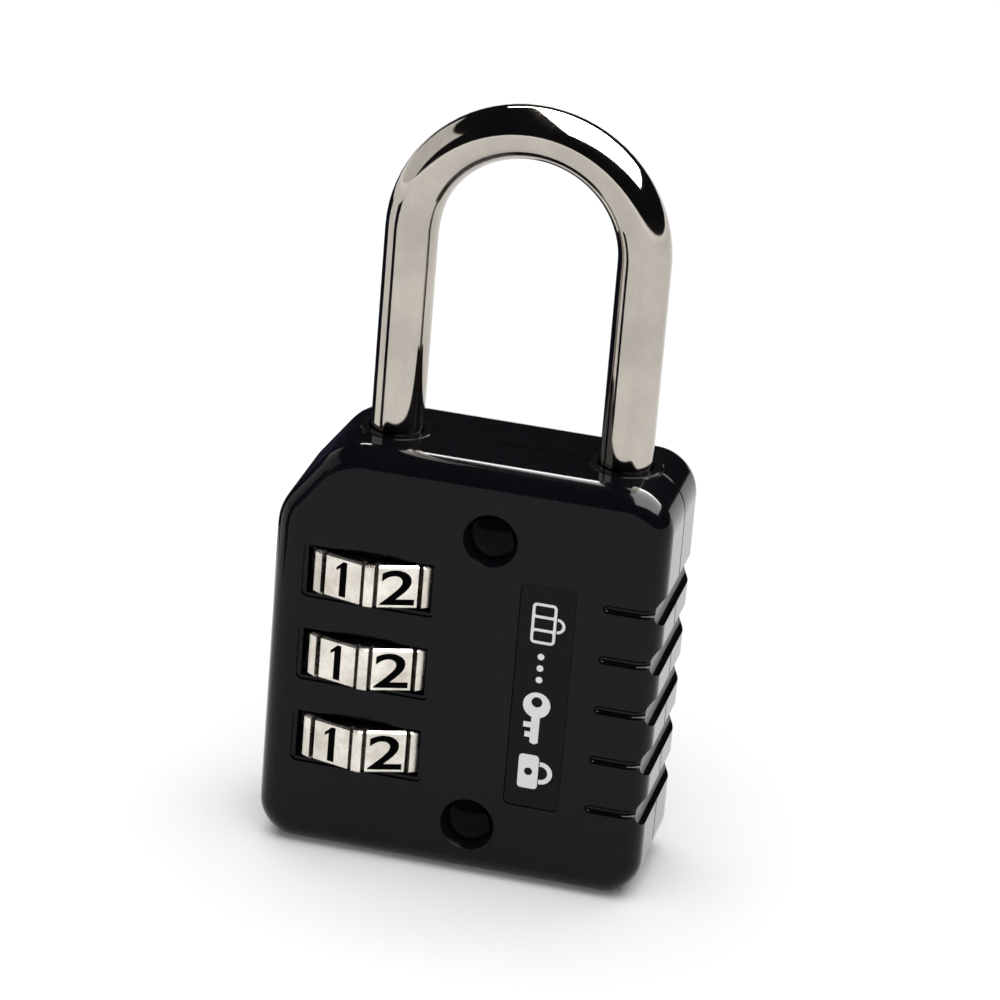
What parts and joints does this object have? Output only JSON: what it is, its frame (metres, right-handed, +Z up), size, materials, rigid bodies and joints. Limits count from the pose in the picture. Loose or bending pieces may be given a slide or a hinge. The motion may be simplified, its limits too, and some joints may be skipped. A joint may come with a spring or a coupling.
{
  "type": "luggage combination padlock",
  "caption": "Small die-cast luggage padlock with number dials on both faces and a bent steel shackle that lifts when the dials line up.",
  "frame": {"origin": "middle of the base, on the plane where the two case halves meet", "axes": "+Z up from the base to the crown of the shackle, -Y toward the front face with the label panel, +X toward the short shackle leg"},
  "size_m": [0.03, 0.0142, 0.0598],
  "materials": {
    "case": "satin black coating on die-cast zinc",
    "label": "matt black plate",
    "white_mark": "white enamel print on the label",
    "digit_paint": "black paint in the digits",
    "rivet": "gloss black coating",
    "collar": "gloss black nylon",
    "shackle": "polished nickel-chrome plate",
    "dial": "satin nickel plate",
    "brass": "turned brass",
    "steel": "zinc-plated steel",
    "spring_steel": "spring steel"
  },
  "bodies": {
    "case": {"case_front": "case", "case_rear": "case", "label_plate": "label", "locating_dowels": "steel", "case_rivets": "rivet", "long_leg_collar": "collar", "short_leg_collar": "collar", "spring_guide_pin": "steel", "shackle_spring": "spring_steel", "detent_leaf": "spring_steel", "leaf_screws": "steel", "thrust_washers": "steel"},
    "shackle": {"shackle": "shackle", "lug_plate": "steel"},
    "dial_top": {"dial_top": "dial", "cam_sleeve_top": "brass"},
    "dial_middle": {"dial_middle": "dial", "cam_sleeve_middle": "brass"},
    "dial_bottom": {"dial_bottom": "dial", "cam_sleeve_bottom": "brass"}
  },
  "joints": [
    {"name": "shackle_lift", "type": "slide", "parent": "case", "child": "shackle", "axis": [0, 0, 1], "range_m": [0, 0.00685], "deforming": ["shackle_spring"]},
    {"name": "dial_top_turn", "type": "hinge", "parent": "case", "child": "dial_top", "pos_m": [-0.0074, 0, 0.02295], "axis": [0, 0, 1], "continuous": true},
    {"name": "dial_middle_turn", "type": "hinge", "parent": "case", "child": "dial_middle", "pos_m": [-0.0074, 0, 0.0161], "axis": [0, 0, 1], "continuous": true},
    {"name": "dial_bottom_turn", "type": "hinge", "parent": "case", "child": "dial_bottom", "pos_m": [-0.0074, 0, 0.00925], "axis": [0, 0, 1], "continuous": true}
  ]
}
